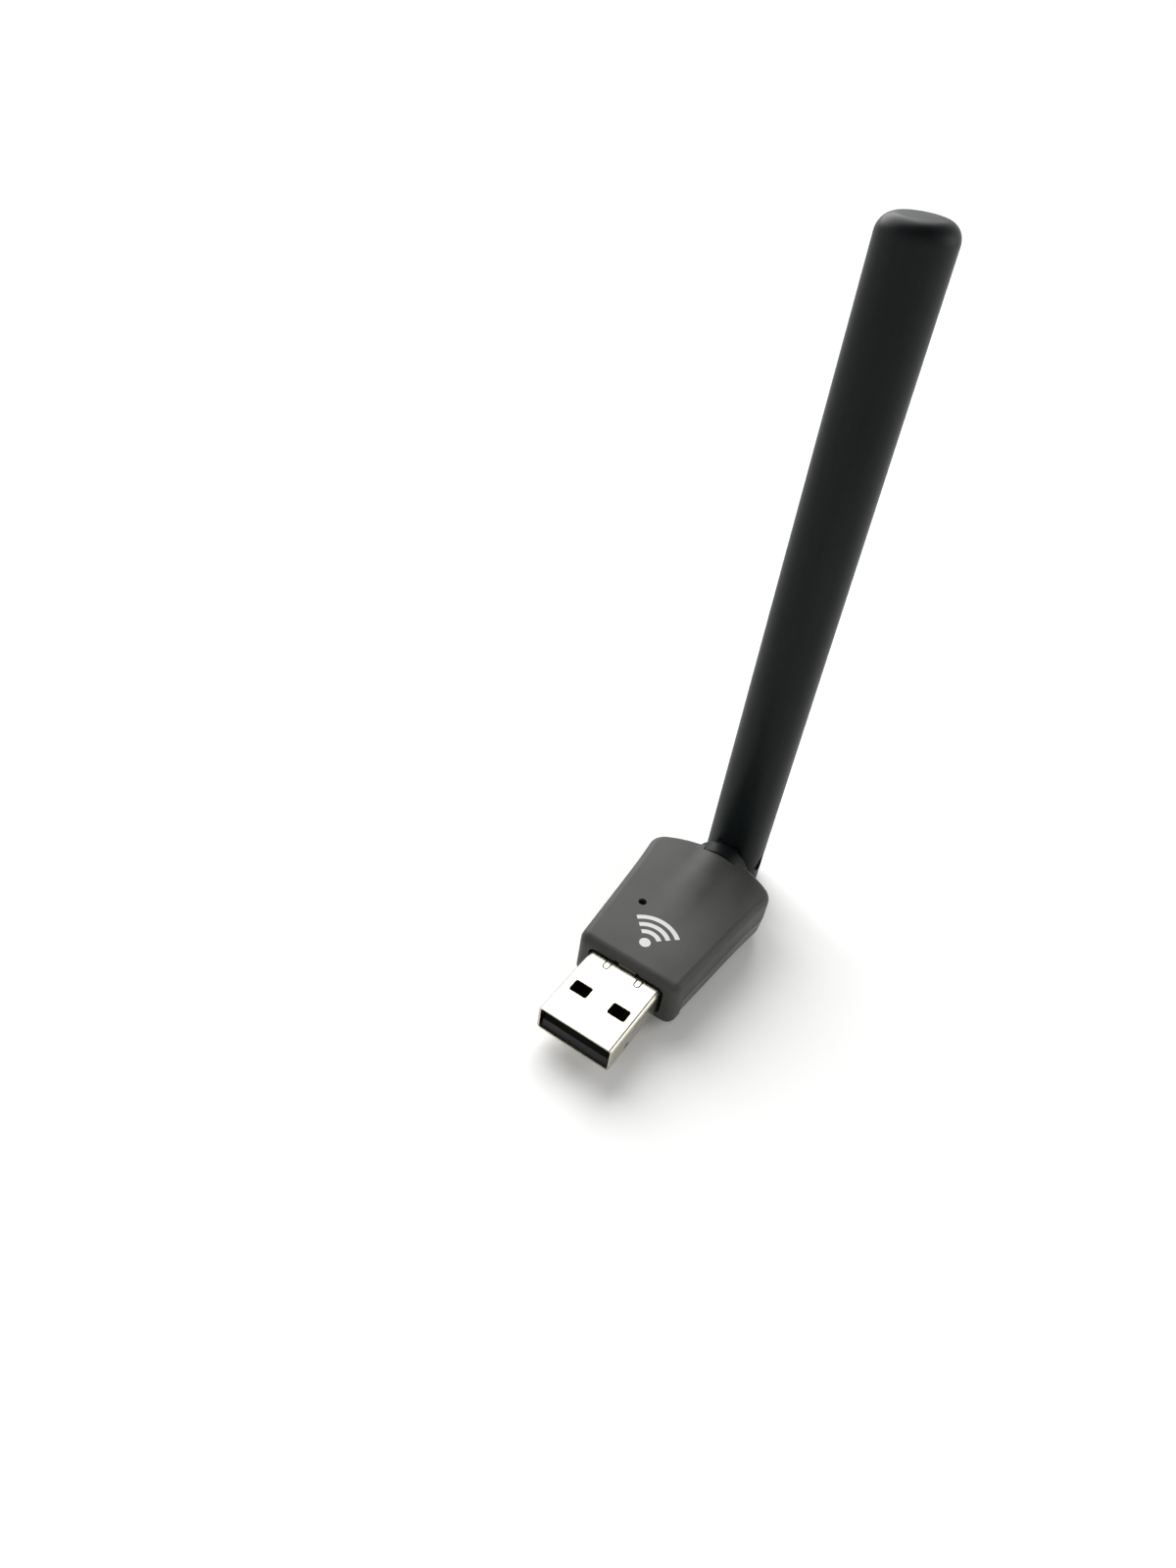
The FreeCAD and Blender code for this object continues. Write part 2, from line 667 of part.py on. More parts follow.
def make_usb_contact(label, middle, start):
    """One flat contact, from the tongue back on to its pad on the board."""
    contact = doc.addObject("Part::Box", label)
    contact.Label = label
    contact.setExpression("Length", bound("contact_width"))
    contact.setExpression("Width", bound(f"{start} + board_start + contact_solder"))
    contact.setExpression("Height", bound("contact_sheet"))
    contact.setExpression("Placement.Base.x", bound(f"{middle} - contact_width / 2"))
    contact.setExpression("Placement.Base.y", bound(f"-{start}"))
    contact.setExpression("Placement.Base.z", bound(BOARD_TOP))
    parts.append(contact)


# ---------------------------------------------------------------- the board

def make_circuit_board():
    """The board, with slots for the shell's two solder tabs."""
    body = new_body("circuit_board")
    add(body, "sheet", "XY_Plane", BOARD_LOW, BOARD_TOP,
        polygon(("-board_front_half", "board_start"), ("board_front_half", "board_start"),
                ("board_back_half", "flare_start"), ("board_back_half", "board_end"),
                ("-board_back_half", "board_end"), ("-board_back_half", "flare_start")))
    for side, name in (("-1", "left"), ("1", "right")):
        edges = sorted((f"{side} * plug_width / 2", f"{side} * (plug_width / 2 - shell_sheet)"), key=number)
        cut(body, f"slot_{name}", "XY_Plane", f"{BOARD_LOW} - {PAST}", PAST,
            box(edges[0], edges[1], f"board_start - {PAST}", "board_start + tab_length"))
    cut(body, "cable_notch", "XY_Plane", f"{BOARD_LOW} - {PAST}", PAST,
        box("-cable_radius", "cable_radius", "board_end - cable_on_board", f"board_end + {PAST}"))
    return body


def make_chip(label, x, y, length, width, height):
    """A block that stands on the board, centred on a point."""
    chip = doc.addObject("Part::Box", label)
    chip.Label = label
    chip.setExpression("Length", bound(length))
    chip.setExpression("Width", bound(width))
    chip.setExpression("Height", bound(height))
    chip.setExpression("Placement.Base.x", bound(f"{x} - ({length}) / 2"))
    chip.setExpression("Placement.Base.y", bound(f"{y} - ({width}) / 2"))
    chip.setExpression("Placement.Base.z", bound(BOARD_TOP))
    parts.append(chip)


def make_board_parts():
    """The chips on the board, and the small capacitors in two rows."""
    make_chip("wifi_chip", "chip_across", "board_start + chip_along", "chip_side", "chip_side", "chip_height")
    make_chip("memory_chip", "memory_across", "board_start + memory_along",
              "memory_side", "memory_side", "chip_height")
    make_chip("crystal", "crystal_across", "board_start + crystal_along",
              "crystal_length", "crystal_width", "crystal_height")
    make_chip("power_inductor", "inductor_across", "board_start + inductor_along",
              "inductor_side", "inductor_side", "inductor_height")
    make_chip("status_led", "led_x", "led_y", "led_length", "led_width", "led_height")
    for row in ("front", "back"):
        for index in range(CAPACITORS_IN_ROW):
            make_chip(f"capacitor_{row}_{index + 1}", f"{row}_row_across + {index} * capacitor_pitch",
                      f"board_start + {row}_row_along", "capacitor_width", "capacitor_length",
                      "capacitor_width")


# ---------------------------------------------------------------- the swivel

def make_swivel():
    """Flange, neck and barrel in one turning, with the hinge's tongue behind it."""
    body = new_body("swivel_collar")
    flange_start = "(bulkhead_start + running_gap)"
    flange_end = f"({flange_start} + flange_sheet)"
    profile = [("0", flange_start), ("flange_radius", flange_start), ("flange_radius", flange_end),
               ("neck_radius", flange_end), ("neck_radius", "barrel_start"),
               ("barrel_radius", "barrel_start"), ("barrel_radius", "barrel_end"), ("0", "barrel_end")]
    turn(body, "turning", "XY_Plane", polygon(*profile))
    rear, radius = number("barrel_end"), number("barrel_radius")
    round_edges(body, "barrel_edges", "barrel_edge",
                lambda at, edge: abs(at.y - rear) < NEAR and math.hypot(at.x, at.z) > radius - NEAR)
    start, back = "(barrel_end - barrel_edge)", "(pivot_y + tongue_reach)"
    add(body, "tongue", "YZ_Plane", "-tongue_half", "tongue_half",
        outline([(start, "-tongue_reach"), (f"{back} - tongue_corner", "-tongue_reach"),
                 (back, "-tongue_reach + tongue_corner"), (back, "0"),
                 ("pivot_y", "tongue_reach"), (start, "tongue_reach")],
                {1: ("tongue_corner", 1), 3: ("tongue_reach", 1)}))
    cut(body, "pin_hole", "YZ_Plane", f"-tongue_half - {PAST}", f"tongue_half + {PAST}",
        circle("pivot_y", "0", "pin_radius + running_gap"))
    cut(body, "cable_slot", "YZ_Plane", "-cable_slot", "cable_slot",
        box("pivot_y - cable_slot", f"{back} + {PAST}", "-cable_slot", f"tongue_reach + {PAST}"))
    cut(body, "cable_hole", "XZ_Plane", f"bulkhead_start - {PAST}", "pivot_y",
        circle("0", "0", "cable_slot"))
    add(body, "stop_peg", "XZ_Plane", f"{flange_start} - stop_peg_length", f"{flange_start} + {FUSE}",
        circle("0", "stop_peg_at", "stop_peg_radius"))
    return body


def make_hinge_pin(label, side):
    """A headed pin, pressed into one cheek of the fork and turning in the tongue."""
    body = new_body(label)
    inner, face = "(cable_slot + 2 * running_gap)", "(antenna_radius - pin_recess)"
    head = f"({face} - pin_head_sheet)"
    spans = (("shank", inner, head, "pin_radius"), ("head", head, face, "pin_head_radius"))
    for name, low, high, radius in spans:
        edges = sorted((f"{side} * {low}", f"{side} * {high}"), key=number)
        add(body, name, "YZ_Plane", edges[0], edges[1], circle("0", "0", radius))
    lift_to_hinge(body)
    return body


# ---------------------------------------------------------------- the antenna

def make_antenna_fork():
    """The antenna's foot: two round-ended cheeks and a spigot for the tube."""
    body = new_body("antenna_fork")
    radius = "antenna_radius"
    add(body, "foot", "YZ_Plane", f"-{radius}", radius,
        outline([(f"-{radius}", "0"), ("0", f"-{radius}"), (radius, "0"), (radius, "fork_top"),
                 (f"-{radius}", "fork_top")], {0: (radius, 1), 1: (radius, 1)}))
    cut(body, "round", "XY_Plane", f"-{radius} - {PAST}", f"fork_top + {PAST}",
        box("-2 * antenna_radius", "2 * antenna_radius", "-2 * antenna_radius", "2 * antenna_radius"),
        circle("0", "0", radius))
    add(body, "spigot", "XY_Plane", f"fork_top - {FUSE}", "fork_top + spigot_length",
        circle("0", "0", "spigot_radius"))
    half = "(tongue_half + fork_gap)"
    cut(body, "slot", "XY_Plane", f"-{radius} - {PAST}", "fork_floor",
        box(f"-{half}", half, "-2 * antenna_radius", "2 * antenna_radius"))
    cut(body, "cable_hole", "XY_Plane", "0", f"fork_top + spigot_length + {PAST}",
        circle("0", "0", "cable_slot"))
    cut(body, "pin_hole", "YZ_Plane", f"-{radius}", radius, circle("0", "0", "pin_radius"))
    head = "(antenna_radius - pin_recess - pin_head_sheet)"
    cut(body, "left_recess", "YZ_Plane", f"-{radius} - {PAST}", f"-{head}",
        circle("0", "0", "pin_head_radius"))
    cut(body, "right_recess", "YZ_Plane", head, f"{radius} + {PAST}", circle("0", "0", "pin_head_radius"))
    lift_to_hinge(body)
    return body


def make_antenna_tube():
    """The whip's moulded cover, closed and rounded at the tip."""
    body = new_body("antenna_tube")
    radius, tip = "antenna_radius", "antenna_tip"
    profile = [("spigot_radius", "fork_top"), (radius, "fork_top"), (radius, f"{tip} - tip_round"),
               (f"{radius} - tip_round", tip), ("0", tip), ("0", f"{tip} - tip_wall"),
               ("spigot_radius", f"{tip} - tip_wall")]
    turn(body, "wall", "YZ_Plane", outline(profile, {2: ("tip_round", 1)}))
    lift_to_hinge(body)
    return body


def make_rod(label, radius, low, high, bore=None):
    """A round rod or tube up the antenna's axis."""
    body = new_body(label)
    loops = [circle("0", "0", radius)]
    if bore:
        loops.append(circle("0", "0", bore))
    add(body, "rod", "XY_Plane", low, high, *loops)
    lift_to_hinge(body)
    return body


def make_antenna_inside():
    """The cable up the antenna, its brass sleeve, and the whip with its shrink tube."""
    cable = make_rod("coax_antenna", "cable_radius", "0", "sleeve_top")
    ball = cable.newObject("PartDesign::AdditiveSphere", "ball")
    ball.setExpression("Radius", bound("cable_radius"))
    doc.recompute()
    sleeve = make_rod("radiator_sleeve", "sleeve_radius", "sleeve_bottom", "sleeve_top",
                      "sleeve_radius - sleeve_sheet")
    add(sleeve, "cap", "XY_Plane", "sleeve_top - sleeve_sheet", "sleeve_top",
        circle("0", "0", "sleeve_radius - sleeve_sheet / 2"), circle("0", "0", "cable_radius"))
    make_rod("radiator_whip", "whip_radius", "sleeve_top", "whip_top")
    shrink = make_rod("heat_shrink", "sleeve_radius + shrink_sheet", "sleeve_top - shrink_length",
                      "sleeve_top", "sleeve_radius")
    add(shrink, "neck", "XY_Plane", "sleeve_top", "sleeve_top + shrink_neck",
        circle("0", "0", "sleeve_radius + shrink_sheet"), circle("0", "0", "whip_radius"))


def make_cable_in_case():
    """The cable from the board to the swivel, and on through it to the hinge."""
    spans = (("coax_board", "board_end - cable_on_board", "bulkhead_start"),
             ("coax_swivel", "bulkhead_start", "pivot_y - cable_radius - running_gap"))
    for label, low, high in spans:
        body = new_body(label)
        add(body, "run", "XZ_Plane", low, high, circle("0", "0", "cable_radius"))


def check_and_write():
    """Refuse any failed feature or bad solid, then write one file for each sub-part."""
    doc.recompute()
    for item in doc.Objects:
        if "Invalid" in item.State or "Error" in item.State:
            raise RuntimeError(f"{item.Name} failed: {item.State}")
    os.makedirs("parts", exist_ok=True)
    for part in parts:
        shape = part.Shape
        if shape.isNull() or not shape.isValid() or len(shape.Solids) != 1:
            raise RuntimeError(f"{part.Label} is not one valid solid: {len(shape.Solids)}")
        shape.exportStep(os.path.join("parts", f"{part.Label}.step"))
        extent = shape.BoundBox
        print(f"{part.Label:26s} {shape.Volume:9.2f} mm3  x {extent.XMin:7.2f} {extent.XMax:7.2f}"
              f"  y {extent.YMin:7.2f} {extent.YMax:7.2f}  z {extent.ZMin:7.2f} {extent.ZMax:7.2f}")


def main():
    """Build the whole adapter."""
    fill_sheet()
    make_top_cover()
    make_bottom_cover()
    make_usb_shell()
    make_usb_insulator()
    for label, (middle, start) in CONTACTS.items():
        make_usb_contact(label, middle, start)
    make_circuit_board()
    make_board_parts()
    make_cable_in_case()
    make_swivel()
    make_hinge_pin("hinge_pin_left", "-1")
    make_hinge_pin("hinge_pin_right", "1")
    make_antenna_fork()
    make_antenna_tube()
    make_antenna_inside()
    check_and_write()


main()
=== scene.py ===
"""The finished look of a USB wifi adapter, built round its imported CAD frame, in metres."""
import json
import math

import bmesh
import bpy
from mathutils import Matrix, Vector


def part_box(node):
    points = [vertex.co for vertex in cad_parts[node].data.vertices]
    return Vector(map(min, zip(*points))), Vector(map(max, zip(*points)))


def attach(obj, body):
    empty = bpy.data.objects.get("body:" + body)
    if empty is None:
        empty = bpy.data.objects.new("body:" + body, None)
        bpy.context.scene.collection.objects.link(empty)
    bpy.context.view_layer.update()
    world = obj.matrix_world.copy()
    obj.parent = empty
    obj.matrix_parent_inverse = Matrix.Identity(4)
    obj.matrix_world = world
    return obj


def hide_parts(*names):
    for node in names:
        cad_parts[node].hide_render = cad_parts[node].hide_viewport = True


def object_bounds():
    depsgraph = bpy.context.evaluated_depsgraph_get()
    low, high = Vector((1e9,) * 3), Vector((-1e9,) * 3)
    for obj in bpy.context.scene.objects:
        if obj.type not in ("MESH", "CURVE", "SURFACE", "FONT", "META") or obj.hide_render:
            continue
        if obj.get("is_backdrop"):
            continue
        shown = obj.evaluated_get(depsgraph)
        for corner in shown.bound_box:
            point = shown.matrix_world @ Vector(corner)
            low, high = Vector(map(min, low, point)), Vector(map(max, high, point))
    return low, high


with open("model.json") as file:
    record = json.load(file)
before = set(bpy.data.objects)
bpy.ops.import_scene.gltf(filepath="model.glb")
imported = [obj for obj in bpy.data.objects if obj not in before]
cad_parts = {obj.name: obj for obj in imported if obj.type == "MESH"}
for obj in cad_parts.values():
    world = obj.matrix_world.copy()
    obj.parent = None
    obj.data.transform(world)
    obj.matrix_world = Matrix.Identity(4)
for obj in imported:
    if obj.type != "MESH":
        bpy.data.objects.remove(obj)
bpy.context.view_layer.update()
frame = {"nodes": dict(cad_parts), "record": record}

bl_info = {
    "name": "USB wifi adapter",
    "version": (1, 0, 0),
    "blender": (4, 5, 0),
    "location": "View3D > Sidebar > Adapter",
    "description": "Dresses the adapter's CAD frame with its moulded, plated and printed finishes",
    "category": "Object",
}

MM = 0.001
CREASE_DEGREES = 28
MERGE = 0.0005 * MM
SEAM_MERGE = 0.001 * MM
LATHE_STEPS = 128
TIP_STEPS = 10
CAMERA_NEAR = 0.01
RING_SHARES = (0.43, 0.71, 1.0)
DOT_SHARE = 0.17
STROKE_SHARE = 0.15
BODY_OF = {node: body for body, nodes in frame["record"]["behaviour"]["bodies"].items() for node in nodes}
SLOT_OF = {entry["node"]: entry["material_slot"] for entry in frame["record"]["subparts"]}


# ---------------------------------------------------------------- colours and nodes

def linear(hex_colour):
    """An sRGB hex colour as the linear red, green, blue and alpha that a socket takes."""
    shares = [int(hex_colour[at:at + 2], 16) / 255 for at in (1, 3, 5)]
    return tuple(c / 12.92 if c <= 0.04045 else ((c + 0.055) / 1.055) ** 2.4 for c in shares) + (1.0,)


def add_node(tree, kind, links=None, **settings):
    """Add a node, set its properties, and link or set its inputs; sockets link, values set."""
    node = tree.nodes.new(kind)
    for name, value in settings.items():
        setattr(node, name, value)
    for socket, value in (links or {}).items():
        if isinstance(value, bpy.types.NodeSocket):
            tree.links.new(value, node.inputs[socket])
        else:
            node.inputs[socket].default_value = value
    return node


def new_material(name):
    """An empty node material with its shader and its object coordinates."""
    material = bpy.data.materials.new(name)
    material.use_nodes = True
    tree = material.node_tree
    tree.nodes.clear()
    shader = add_node(tree, "ShaderNodeBsdfPrincipled")
    add_node(tree, "ShaderNodeOutputMaterial", {"Surface": shader.outputs["BSDF"]})
    place = add_node(tree, "ShaderNodeTexCoord").outputs["Object"]
    return material, tree, shader, place


def noise(tree, place, size_mm, detail=2.0, rough=0.5):
    """A cloudy pattern whose features are this many millimetres across, from 0 to 1."""
    return add_node(tree, "ShaderNodeTexNoise", {
        "Vector": place, "Scale": 1 / (size_mm * MM), "Detail": detail, "Roughness": rough}).outputs["Fac"]


def two_tone(tree, factor, low, high, low_at=0.35, high_at=0.65):
    """One colour below the first share of a pattern, another above the second, a blend between."""
    ramp = add_node(tree, "ShaderNodeValToRGB", {"Fac": factor})
    first, last = ramp.color_ramp.elements
    first.position, first.color = low_at, linear(low)
    last.position, last.color = high_at, linear(high)
    return ramp.outputs["Color"]


def uneven(tree, factor, roughness, less, more):
    """Roughness that drifts with a pattern, from a little less to a little more than its setting."""
    return add_node(tree, "ShaderNodeMapRange", {
        "Value": factor, "From Min": 0.3, "From Max": 0.7,
        "To Min": roughness - less, "To Max": roughness + more}).outputs["Result"]


def relief(tree, height, strength, depth_mm):
    """The normal of a surface that a pattern raises by this many millimetres."""
    return add_node(tree, "ShaderNodeBump", {
        "Height": height, "Strength": strength, "Distance": depth_mm * MM}).outputs["Normal"]


def mix(tree, factor, low, high):
    """One colour where the factor is 0 and another where it is 1."""
    return add_node(tree, "ShaderNodeMix", {
        "Factor": factor, "A": low, "B": high}, data_type="RGBA").outputs["Result"]


def math_node(tree, operation, *values):
    """The result of one sum or comparison on numbers or sockets."""
    return add_node(tree, "ShaderNodeMath", dict(enumerate(values)), operation=operation).outputs["Value"]


# ---------------------------------------------------------------- materials

def spark_textured_abs(name, low, high, grain_mm, roughness, sheen, print_look=None):
    """Moulded ABS from a spark-eroded tool: a fine matt grain that greys the highlights."""
    material, tree, shader, place = new_material(name)
    grain = noise(tree, place, grain_mm, detail=3.0, rough=0.6)
    cloud = noise(tree, place, 9.0)
    base = two_tone(tree, math_node(tree, "MULTIPLY", grain, cloud), low, high, low_at=0.1, high_at=0.42)
    if print_look:
        base = mix(tree, print_mask(tree, place, print_look), base, linear(print_look["ink"]))
    tree.links.new(base, shader.inputs["Base Color"])
    tree.links.new(uneven(tree, grain, roughness, less=0.05, more=0.07), shader.inputs["Roughness"])
    tree.links.new(relief(tree, grain, strength=0.35, depth_mm=0.02), shader.inputs["Normal"])
    shader.inputs["IOR"].default_value = 1.53
    shader.inputs["Specular IOR Level"].default_value = sheen
    return material


def print_mask(tree, place, look):
    """White where the pad-printed wireless sign lies: a dot under three quarter rings, on the top only."""
    centre = Vector((look["x"], look["y"], 0.0))
    shifted = add_node(tree, "ShaderNodeVectorMath", {0: place, 1: centre}, operation="SUBTRACT")
    axes = add_node(tree, "ShaderNodeSeparateXYZ", {"Vector": shifted.outputs["Vector"]}).outputs
    flat = add_node(tree, "ShaderNodeCombineXYZ", {"X": axes["X"], "Y": axes["Y"]}).outputs["Vector"]
    reach = add_node(tree, "ShaderNodeVectorMath", {0: flat}, operation="LENGTH").outputs["Value"]
    wedge = math_node(tree, "GREATER_THAN", axes["Y"], math_node(tree, "ABSOLUTE", axes["X"]))
    shapes = math_node(tree, "LESS_THAN", reach, look["dot"])
    for radius in look["rings"]:
        ring = math_node(tree, "COMPARE", reach, radius, look["stroke"] / 2)
        shapes = math_node(tree, "MAXIMUM", shapes, math_node(tree, "MULTIPLY", ring, wedge))
    on_top = math_node(tree, "GREATER_THAN", axes["Z"], look["lowest"])
    return math_node(tree, "MULTIPLY", shapes, on_top)


def satin_moulding(name, low, high, roughness, sheen):
    """Polished-tool moulding in black: a soft sheen with faint clouding where the melt flowed."""
    material, tree, shader, place = new_material(name)
    flow = add_node(tree, "ShaderNodeMapping", {"Vector": place, "Scale": (1.0, 1.0, 0.12)})
    cloud = noise(tree, flow.outputs["Vector"], 2.5, detail=4.0)
    grain = noise(tree, place, 0.25)
    tree.links.new(two_tone(tree, cloud, low, high), shader.inputs["Base Color"])
    tree.links.new(uneven(tree, cloud, roughness, less=0.04, more=0.04), shader.inputs["Roughness"])
    tree.links.new(relief(tree, grain, strength=0.12, depth_mm=0.01), shader.inputs["Normal"])
    shader.inputs["Specular IOR Level"].default_value = sheen
    shader.inputs["IOR"].default_value = 1.5
    return material


def rolled_metal(name, low, high, roughness, along):
    """Rolled sheet or drawn wire: metal with hair-fine lines along the way it was worked."""
    material, tree, shader, place = new_material(name)
    stretch = [0.03 if axis == along else 1.0 for axis in "XYZ"]
    lines_at = add_node(tree, "ShaderNodeMapping", {"Vector": place, "Scale": stretch})
    lines = noise(tree, lines_at.outputs["Vector"], 0.12)
    cloud = noise(tree, place, 3.0)
    tree.links.new(two_tone(tree, cloud, low, high), shader.inputs["Base Color"])
    tree.links.new(uneven(tree, lines, roughness, less=0.04, more=0.06), shader.inputs["Roughness"])
    tree.links.new(relief(tree, lines, strength=0.06, depth_mm=0.01), shader.inputs["Normal"])
    shader.inputs["Metallic"].default_value = 1.0
    return material


def solder_mask(name, low, high):
    """Glass-epoxy board under green mask: traces show as slightly lighter, raised lines."""
    material, tree, shader, place = new_material(name)
    traces = add_node(tree, "ShaderNodeTexVoronoi", {
        "Vector": place, "Scale": 1 / (1.6 * MM)}, feature="DISTANCE_TO_EDGE")
    line = math_node(tree, "LESS_THAN", traces.outputs["Distance"], 0.09)
    tree.links.new(mix(tree, line, linear(low), linear(high)), shader.inputs["Base Color"])
    tree.links.new(relief(tree, line, strength=0.3, depth_mm=0.03), shader.inputs["Normal"])
    shader.inputs["Roughness"].default_value = 0.3
    return material


def cast_resin(name, low, high, roughness, speck_mm=0.2):
    """Moulding resin, ferrite or ceramic: opaque and slightly speckled by its filler."""
    material, tree, shader, place = new_material(name)
    specks = noise(tree, place, speck_mm, detail=5.0)
    tree.links.new(two_tone(tree, specks, low, high, high_at=0.68), shader.inputs["Base Color"])
    tree.links.new(relief(tree, specks, strength=0.2, depth_mm=0.01), shader.inputs["Normal"])
    shader.inputs["Roughness"].default_value = roughness
    return material


def painted_board(name, colour):
    """Sprayed studio board: pale and dead flat, with the least trace of unevenness."""
    material, tree, shader, place = new_material(name)
    cloud = noise(tree, place, 60.0)
    tree.links.new(mix(tree, cloud, linear(colour), linear("#FFFFFF")), shader.inputs["Base Color"])
    shader.inputs["Roughness"].default_value = 0.9
    shader.inputs["Specular IOR Level"].default_value = 0.1
    return material


# ---------------------------------------------------------------- shapes

def finish_piece(mesh, node):
    """Make a piece that stands for a CAD node, smooth except at its real creases."""
    crease = math.radians(CREASE_DEGREES)
    work = bmesh.new()
    work.from_mesh(mesh)
    for face in work.faces:
        face.smooth = True
    for edge in work.edges:
        edge.smooth = edge.calc_face_angle(math.pi) < crease
    work.to_mesh(mesh)
    work.free()
    piece = bpy.data.objects.new(f"{node}_finished", mesh)
    bpy.context.scene.collection.objects.link(piece)
    weigh = piece.modifiers.new("flat_faces_stay_flat", "WEIGHTED_NORMAL")
    weigh.keep_sharp = True
    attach(piece, BODY_OF[node])
    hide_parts(node)
    return piece


def smooth_copy(node, material):
    """A copy of a CAD node with its triangles merged, so that its round faces shade smoothly."""
    mesh = bpy.data.meshes.new(f"{node}_finished")
    work = bmesh.new()
    work.from_mesh(frame["nodes"][node].data)
    bmesh.ops.remove_doubles(work, verts=work.verts, dist=MERGE)
    bmesh.ops.dissolve_degenerate(work, edges=work.edges, dist=MERGE)
    work.to_mesh(mesh)
    work.free()
    stored = mesh.attributes.get("custom_normal")
    if stored:
        mesh.attributes.remove(stored)
    mesh.materials.clear()
    mesh.materials.append(material)
    return finish_piece(mesh, node)


def coat(node, material):
    """Give a CAD node that keeps its own shape its finish."""
    mesh = frame["nodes"][node].data
    mesh.materials.clear()
    mesh.materials.append(material)


def lathe(node, profile, centre, material):
    """Spin a profile of (radius, height) about an upright axis through centre."""
    work = bmesh.new()
    chain = [work.verts.new(centre + Vector((radius, 0.0, height))) for radius, height in profile]
    for first, second in zip(chain, chain[1:]):
        work.edges.new((first, second))
    bmesh.ops.spin(work, geom=work.verts[:] + work.edges[:], cent=centre, axis=(0, 0, 1),
                   dvec=(0, 0, 0), angle=math.tau, steps=LATHE_STEPS, use_merge=True, use_duplicate=False)
    bmesh.ops.remove_doubles(work, verts=work.verts, dist=SEAM_MERGE)
    bmesh.ops.recalc_face_normals(work, faces=work.faces)
    mesh = bpy.data.meshes.new(f"{node}_finished")
    work.to_mesh(mesh)
    work.free()
    mesh.materials.append(material)
    return finish_piece(mesh, node)


# ---------------------------------------------------------------- settings

class CaseLook(bpy.types.PropertyGroup):
    """Sizes and colours of the two covers."""
    shade: bpy.props.StringProperty(name="Plastic shade", default="#323330",
                                    description="sRGB hex colour of the darker grain")
    tint: bpy.props.StringProperty(name="Plastic tint", default="#42433F",
                                   description="sRGB hex colour of the lighter grain")
    # The lower cover is the same plastic as the top, painted lighter: painted light standing in for the
    # floor's bounce on its side.
    floor_lit_low_shade: bpy.props.StringProperty(name="Lower cover shade", default="#4A4A48",
                                        description="sRGB hex colour of the lower cover's darker grain")
    floor_lit_low_tint: bpy.props.StringProperty(name="Lower cover tint", default="#5E5E5B",
                                       description="sRGB hex colour of the lower cover's lighter grain")
    ink: bpy.props.StringProperty(name="Print", default="#C9C9C9",
                                  description="sRGB hex colour of the printed sign")
    grain: bpy.props.FloatProperty(name="Grain", default=0.16, description="Width of the grain, in mm")
    roughness: bpy.props.FloatProperty(name="Roughness", default=0.5, subtype="FACTOR",
                                       description="How matt the plastic is")
    sheen: bpy.props.FloatProperty(name="Sheen", default=0.28, subtype="FACTOR",
                                   description="How strongly the covers shine")
    sign_at: bpy.props.FloatVectorProperty(name="Sign", default=(0.0, 0.0049), size=2, unit="LENGTH",
                                           description="Where the sign's dot is printed")
    sign_radius: bpy.props.FloatProperty(name="Sign size", default=0.005, unit="LENGTH",
                                         description="Radius of the sign's outer ring")
    sign_lowest: bpy.props.FloatProperty(name="Sign's lowest height", default=0.0037, unit="LENGTH",
                                         description="Height below which nothing is printed")


class PlugLook(bpy.types.PropertyGroup):
    """Colours of the plug."""
    nickel_low: bpy.props.StringProperty(name="Nickel shade", default="#BAB6A9",
                                         description="sRGB hex colour of the plating's darker clouds")
    nickel_high: bpy.props.StringProperty(name="Nickel tint", default="#C2BEB2",
                                          description="sRGB hex colour of the plating's lighter clouds")
    roughness: bpy.props.FloatProperty(name="Roughness", default=0.26, subtype="FACTOR",
                                       description="How dull the plating is")


class AntennaLook(bpy.types.PropertyGroup):
    """Sizes and colours of the antenna and its swivel."""
    shade: bpy.props.StringProperty(name="Black shade", default="#0B0E0F",
                                    description="sRGB hex colour of the moulding's darker clouds")
    tint: bpy.props.StringProperty(name="Black tint", default="#121617",
                                   description="sRGB hex colour of the moulding's lighter clouds")
    roughness: bpy.props.FloatProperty(name="Roughness", default=0.42, subtype="FACTOR",
                                       description="How dull the antenna is")
    sheen: bpy.props.FloatProperty(name="Sheen", default=0.12, subtype="FACTOR",
                                   description="How strongly the black moulding shines")
    tip_round: bpy.props.FloatProperty(name="Tip rounding", default=0.0022, unit="LENGTH",
                                       description="Radius of the tip's edge")
    wall: bpy.props.FloatProperty(name="Wall", default=0.0012, unit="LENGTH",
                                  description="Thickness of the moulded cover's side")
    tip_wall: bpy.props.FloatProperty(name="Tip wall", default=0.002, unit="LENGTH",
                                      description="Thickness of the moulded cover over its tip")


